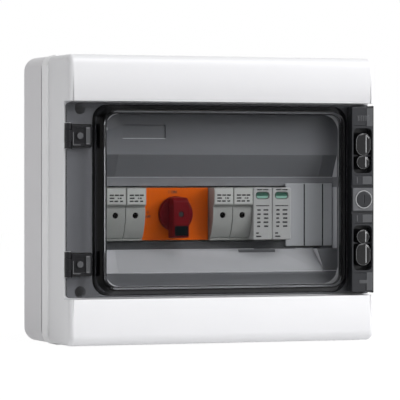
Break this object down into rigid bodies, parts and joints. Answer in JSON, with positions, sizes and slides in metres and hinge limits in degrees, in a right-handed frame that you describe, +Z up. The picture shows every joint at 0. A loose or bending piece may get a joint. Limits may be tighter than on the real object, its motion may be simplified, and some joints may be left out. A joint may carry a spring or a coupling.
{
  "type": "solar combiner box",
  "caption": "Wall-mounted plastic box with a hinged smoked door over a rail of fuse holders, a rotary isolator, surge arresters and a blanking strip.",
  "frame": {"origin": "on the wall, midway between the four fixing holes", "axes": "+X to the right seen from the front, +Y into the wall (the front faces -Y), +Z up"},
  "size_m": [0.278, 0.1304, 0.244],
  "materials": {
    "case_plastic": "fine satin moulding",
    "smoked_door": "smoked clear plastic",
    "black_plastic": "satin black",
    "seal_rubber": "soft foam",
    "zinc_steel": "zinc plated",
    "device_grey": "fine satin moulding",
    "fuse_ceramic": "ceramic barrel",
    "orange_plastic": "satin",
    "red_plastic": "satin",
    "green_plastic": "satin",
    "blank_grey": "satin",
    "bar_brass": "drawn brass"
  },
  "bodies": {
    "case": {"base_shell": "case_plastic", "cover_frame": "case_plastic", "cover_seal": "seal_rubber", "door_seal": "seal_rubber", "upper_hinge_bracket": "black_plastic", "lower_hinge_bracket": "black_plastic", "upper_hinge_pin": "zinc_steel", "lower_hinge_pin": "zinc_steel", "din_rail": "zinc_steel", "cover_screws": "zinc_steel", "rail_screws": "zinc_steel", "fuse_body_1": "device_grey", "fuse_body_2": "device_grey", "fuse_body_3": "device_grey", "fuse_body_4": "device_grey", "isolator_body": "device_grey", "isolator_plate": "orange_plastic", "arrester_body_1": "device_grey", "arrester_body_2": "device_grey", "blanking_strip": "blank_grey", "earth_bar": "bar_brass", "earth_bar_screws": "zinc_steel"},
    "door": {"door": "smoked_door", "upper_hinge_leaf": "black_plastic", "lower_hinge_leaf": "black_plastic", "lock_plug": "black_plastic", "upper_latch_pin": "zinc_steel", "lower_latch_pin": "zinc_steel"},
    "upper_latch": {"upper_latch": "black_plastic"},
    "lower_latch": {"lower_latch": "black_plastic"},
    "isolator_handle": {"isolator_handle": "red_plastic", "isolator_shaft": "zinc_steel", "handle_screw": "zinc_steel"},
    "padlock_slide": {"padlock_slide": "green_plastic"},
    "fuse_carrier_1": {"fuse_carrier_1": "device_grey", "fuse_link_1": "fuse_ceramic"},
    "fuse_carrier_2": {"fuse_carrier_2": "device_grey", "fuse_link_2": "fuse_ceramic"},
    "fuse_carrier_3": {"fuse_carrier_3": "device_grey", "fuse_link_3": "fuse_ceramic"},
    "fuse_carrier_4": {"fuse_carrier_4": "device_grey", "fuse_link_4": "fuse_ceramic"},
    "arrester_cartridge_1": {"arrester_cartridge_1": "device_grey", "status_flag_1": "green_plastic"},
    "arrester_cartridge_2": {"arrester_cartridge_2": "device_grey", "status_flag_2": "green_plastic"}
  },
  "joints": [
    {"name": "door_hinge", "type": "hinge", "parent": "case", "child": "door", "pos_m": [-0.1356, -0.1186, 0], "axis": [0, 0, -1], "range_deg": [0, 120]},
    {"name": "upper_latch_pivot", "type": "hinge", "parent": "door", "child": "upper_latch", "pos_m": [0.1268, -0.1246, 0.0374], "axis": [1, 0, 0], "range_deg": [0, 18], "stiffness_Nm_per_rad": 0.05, "springref_deg": -5.73},
    {"name": "lower_latch_pivot", "type": "hinge", "parent": "door", "child": "lower_latch", "pos_m": [0.1268, -0.1246, -0.0374], "axis": [-1, 0, 0], "range_deg": [0, 18], "stiffness_Nm_per_rad": 0.05, "springref_deg": -5.73},
    {"name": "isolator_turn", "type": "hinge", "parent": "case", "child": "isolator_handle", "pos_m": [-0.03575, -0.112, -0.012], "axis": [0, -1, 0], "range_deg": [0, 90]},
    {"name": "padlock_slide_out", "type": "slide", "parent": "isolator_handle", "child": "padlock_slide", "axis": [0, -1, 0], "range_m": [0, 0.005]},
    {"name": "fuse_carrier_1_tilt", "type": "hinge", "parent": "case", "child": "fuse_carrier_1", "pos_m": [-0.09262, -0.104, -0.031], "axis": [1, 0, 0], "range_deg": [0, 13]},
    {"name": "fuse_carrier_2_tilt", "type": "hinge", "parent": "case", "child": "fuse_carrier_2", "pos_m": [-0.07487, -0.104, -0.031], "axis": [1, 0, 0], "range_deg": [0, 13]},
    {"name": "fuse_carrier_3_tilt", "type": "hinge", "parent": "case", "child": "fuse_carrier_3", "pos_m": [0.00337, -0.104, -0.031], "axis": [1, 0, 0], "range_deg": [0, 13]},
    {"name": "fuse_carrier_4_tilt", "type": "hinge", "parent": "case", "child": "fuse_carrier_4", "pos_m": [0.02113, -0.104, -0.031], "axis": [1, 0, 0], "range_deg": [0, 13]},
    {"name": "arrester_cartridge_1_pull", "type": "slide", "parent": "case", "child": "arrester_cartridge_1", "axis": [0, -1, 0], "range_m": [0, 0.008]},
    {"name": "arrester_cartridge_2_pull", "type": "slide", "parent": "case", "child": "arrester_cartridge_2", "axis": [0, -1, 0], "range_m": [0, 0.008]}
  ]
}
